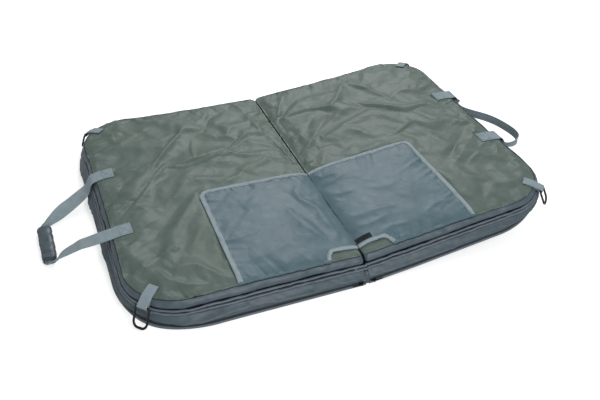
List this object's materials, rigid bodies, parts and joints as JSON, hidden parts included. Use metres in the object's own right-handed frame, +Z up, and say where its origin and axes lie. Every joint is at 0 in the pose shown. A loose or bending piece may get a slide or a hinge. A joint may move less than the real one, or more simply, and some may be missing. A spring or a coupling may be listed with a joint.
{
  "type": "unhooking mat",
  "caption": "Folding fish unhooking mat laid open: padded halves on a zipped base, a bound kneeling flap, webbing handles and corner tabs with D rings.",
  "frame": {"origin": "middle of the crease, on the ground under the open mat", "axes": "+X from the left half to the right half along the ground, +Y from the flap side to the back, +Z up"},
  "size_m": [1.3582, 0.8354, 0.1397],
  "materials": {
    "green_cloth": "coated nylon, slightly glossy, wrinkled",
    "slate_cloth": "coated ripstop cloth",
    "dark_cloth": "matt coated cloth",
    "hem_cloth": "rolled cloth hem",
    "webbing": "ribbed webbing",
    "foam": "open-cell foam",
    "zip_tape": "woven tape with a nylon coil",
    "black_steel": "black, half glossy",
    "black_tag": "plain woven tag"
  },
  "bodies": {
    "left_half": {"left_top_panel": "green_cloth", "left_pad_wall": "dark_cloth", "left_pad_foam": "foam", "left_pad_lining": "dark_cloth", "left_pad_hem": "hem_cloth", "left_base_hem": "hem_cloth", "left_base_lining": "dark_cloth", "left_base_band": "slate_cloth", "left_base_foam": "foam", "left_base_zip": "zip_tape", "left_base_piping": "hem_cloth", "left_base_sheet": "dark_cloth", "left_handle_tail_front": "webbing", "left_handle_tail_back": "webbing", "left_front_tab": "webbing", "left_back_tab": "webbing", "spine_gusset": "dark_cloth"},
    "left_flap": {"left_flap_panel": "slate_cloth", "left_flap_binding": "webbing", "left_mouth_binding": "webbing"},
    "left_handle": {"left_handle_loop": "webbing", "grip_sleeve": "dark_cloth"},
    "left_front_ring": {"left_front_ring": "black_steel"},
    "left_back_ring": {"left_back_ring": "black_steel"},
    "left_slider": {"left_zip_slider": "black_steel"},
    "left_pull": {"left_zip_pull": "black_steel"},
    "right_half": {"right_top_panel": "green_cloth", "right_pad_wall": "dark_cloth", "right_pad_foam": "foam", "right_pad_lining": "dark_cloth", "right_pad_hem": "hem_cloth", "right_base_hem": "hem_cloth", "right_base_lining": "dark_cloth", "right_base_band": "slate_cloth", "right_base_foam": "foam", "right_base_zip": "zip_tape", "right_base_piping": "hem_cloth", "right_base_sheet": "dark_cloth", "right_handle_tail_front": "webbing", "right_handle_tail_back": "webbing", "right_front_tab": "webbing", "right_back_tab": "webbing"},
    "right_flap": {"right_flap_panel": "slate_cloth", "right_flap_binding": "webbing", "right_mouth_binding": "webbing", "label": "black_tag"},
    "right_handle": {"right_handle_loop": "webbing"},
    "right_front_ring": {"right_front_ring": "black_steel"},
    "right_back_ring": {"right_back_ring": "black_steel"},
    "right_slider": {"right_zip_slider": "black_steel"},
    "right_pull": {"right_zip_pull": "black_steel"},
    "grip_leaf": {"grip_leaf": "dark_cloth"}
  },
  "joints": [
    {"name": "fold", "type": "hinge", "parent": "left_half", "child": "right_half", "pos_m": [0, 0, 0.0831], "axis": [0, -1, 0], "range_deg": [-7, 168], "deforming": ["spine_gusset"]},
    {"name": "left_flap_fold", "type": "hinge", "parent": "left_half", "child": "left_flap", "pos_m": [0, -0.3865, 0.0731], "axis": [1, 0, 0], "range_deg": [0, 180]},
    {"name": "right_flap_fold", "type": "hinge", "parent": "right_half", "child": "right_flap", "pos_m": [0.00122, -0.3865, 0.07317], "axis": [0.9925, 0, 0.1219], "range_deg": [0, 180]},
    {"name": "left_handle_swing", "type": "hinge", "parent": "left_half", "child": "left_handle", "pos_m": [-0.53144, 0, 0.07198], "axis": [0, -1, 0], "range_deg": [-108, 0]},
    {"name": "right_handle_swing", "type": "hinge", "parent": "right_half", "child": "right_handle", "pos_m": [0.52883, 0, 0.13682], "axis": [0, 1, 0], "range_deg": [-108, 0]},
    {"name": "left_front_ring_swing", "type": "hinge", "parent": "left_half", "child": "left_front_ring", "pos_m": [-0.51282, -0.36382, 0.058], "axis": [0.7071, -0.7071, 0], "range_deg": [-150, 0]},
    {"name": "left_back_ring_swing", "type": "hinge", "parent": "left_half", "child": "left_back_ring", "pos_m": [-0.51282, 0.36382, 0.058], "axis": [-0.7071, -0.7071, 0], "range_deg": [-150, 0]},
    {"name": "right_front_ring_swing", "type": "hinge", "parent": "right_half", "child": "right_front_ring", "pos_m": [0.51206, -0.36382, 0.12068], "axis": [0.7018, 0.7071, 0.0862], "range_deg": [-150, 0]},
    {"name": "right_back_ring_swing", "type": "hinge", "parent": "right_half", "child": "right_back_ring", "pos_m": [0.51206, 0.36382, 0.12068], "axis": [-0.7018, 0.7071, -0.0862], "range_deg": [-150, 0]},
    {"name": "grip_open", "type": "hinge", "parent": "left_handle", "child": "grip_leaf", "pos_m": [-0.6952, -0.0342, 0.01175], "axis": [0, -1, 0], "range_deg": [0, 150]},
    {"name": "left_zip_slide", "type": "slide", "parent": "left_half", "child": "left_slider", "axis": [-1, 0, 0], "range_m": [0, 0.32]},
    {"name": "left_pull_swing", "type": "hinge", "parent": "left_slider", "child": "left_pull", "pos_m": [-0.012, -0.418, 0.0093], "axis": [0, 0, 1], "range_deg": [0, 120]},
    {"name": "right_zip_slide", "type": "slide", "parent": "right_half", "child": "right_slider", "axis": [0.9925, 0, 0.1219], "range_m": [0, 0.32]},
    {"name": "right_pull_swing", "type": "hinge", "parent": "right_slider", "child": "right_pull", "pos_m": [0.0209, -0.418, 0.01131], "axis": [0.1219, 0, -0.9925], "range_deg": [0, 120]}
  ]
}
